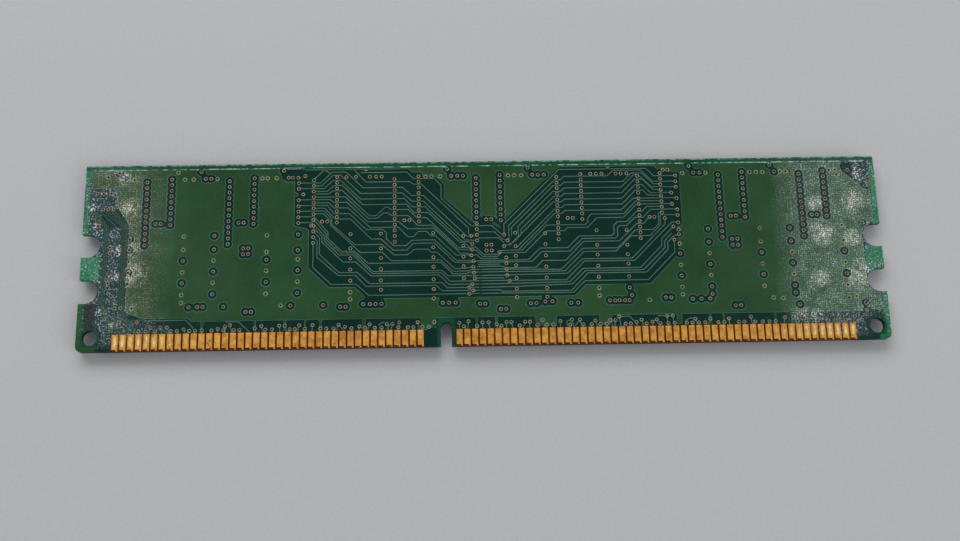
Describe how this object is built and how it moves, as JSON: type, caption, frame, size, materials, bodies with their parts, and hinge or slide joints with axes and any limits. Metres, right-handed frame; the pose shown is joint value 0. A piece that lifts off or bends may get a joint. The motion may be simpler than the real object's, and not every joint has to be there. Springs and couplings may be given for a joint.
{
  "type": "ram module",
  "caption": "Thin green memory board with gold edge contacts, an off-centre key slot and latch notches in both ends; memory chips on one side only.",
  "frame": {"origin": "under the middle of the board, on the surface that the memory chips rest on", "axes": "+X along the board's length, with the shorter group of contacts towards -X; the contact edge faces -Y; +Z out of the bare side, away from the chips"},
  "size_m": [0.1334, 0.0318, 0.0024],
  "materials": {
    "laminate": "glass-fibre laminate, green where the mask covers it",
    "inner_copper": "plain copper foil",
    "solder_mask": "glossy green solder mask over copper",
    "contact_gold": "gold plate, satin",
    "mould": "black moulding compound",
    "tinned_lead": "tinned lead, bright",
    "silicon": "polished silicon",
    "resistor": "black glaze on ceramic",
    "capacitor": "fired ceramic"
  },
  "bodies": {
    "root": {"core_laminate": "laminate", "back_prepreg": "laminate", "front_prepreg": "laminate", "ground_plane": "inner_copper", "power_plane": "inner_copper", "back_copper": "solder_mask", "front_copper": "solder_mask", "back_contacts_left": "contact_gold", "back_contacts_right": "contact_gold", "front_contacts_left": "contact_gold", "front_contacts_right": "contact_gold", "memory_chip_1_package": "mould", "memory_chip_1_lead_frame": "tinned_lead", "memory_chip_1_die": "silicon", "memory_chip_2_package": "mould", "memory_chip_2_lead_frame": "tinned_lead", "memory_chip_2_die": "silicon", "memory_chip_3_package": "mould", "memory_chip_3_lead_frame": "tinned_lead", "memory_chip_3_die": "silicon", "memory_chip_4_package": "mould", "memory_chip_4_lead_frame": "tinned_lead", "memory_chip_4_die": "silicon", "memory_chip_5_package": "mould", "memory_chip_5_lead_frame": "tinned_lead", "memory_chip_5_die": "silicon", "memory_chip_6_package": "mould", "memory_chip_6_lead_frame": "tinned_lead", "memory_chip_6_die": "silicon", "memory_chip_7_package": "mould", "memory_chip_7_lead_frame": "tinned_lead", "memory_chip_7_die": "silicon", "memory_chip_8_package": "mould", "memory_chip_8_lead_frame": "tinned_lead", "memory_chip_8_die": "silicon", "presence_chip_package": "mould", "presence_chip_lead_frame": "tinned_lead", "resistor_array_1": "resistor", "resistor_array_2": "resistor", "resistor_array_3": "resistor", "resistor_array_4": "resistor", "resistor_array_5": "resistor", "resistor_array_6": "resistor", "resistor_array_7": "resistor", "resistor_array_8": "resistor", "resistor_array_9": "resistor", "resistor_array_10": "resistor", "resistor_array_11": "resistor", "resistor_array_12": "resistor", "resistor_array_13": "resistor", "resistor_array_14": "resistor", "resistor_array_15": "resistor", "resistor_array_16": "resistor", "capacitor_1": "capacitor", "capacitor_2": "capacitor", "capacitor_3": "capacitor", "capacitor_4": "capacitor", "capacitor_5": "capacitor", "capacitor_6": "capacitor", "capacitor_7": "capacitor"}
  },
  "joints": []
}
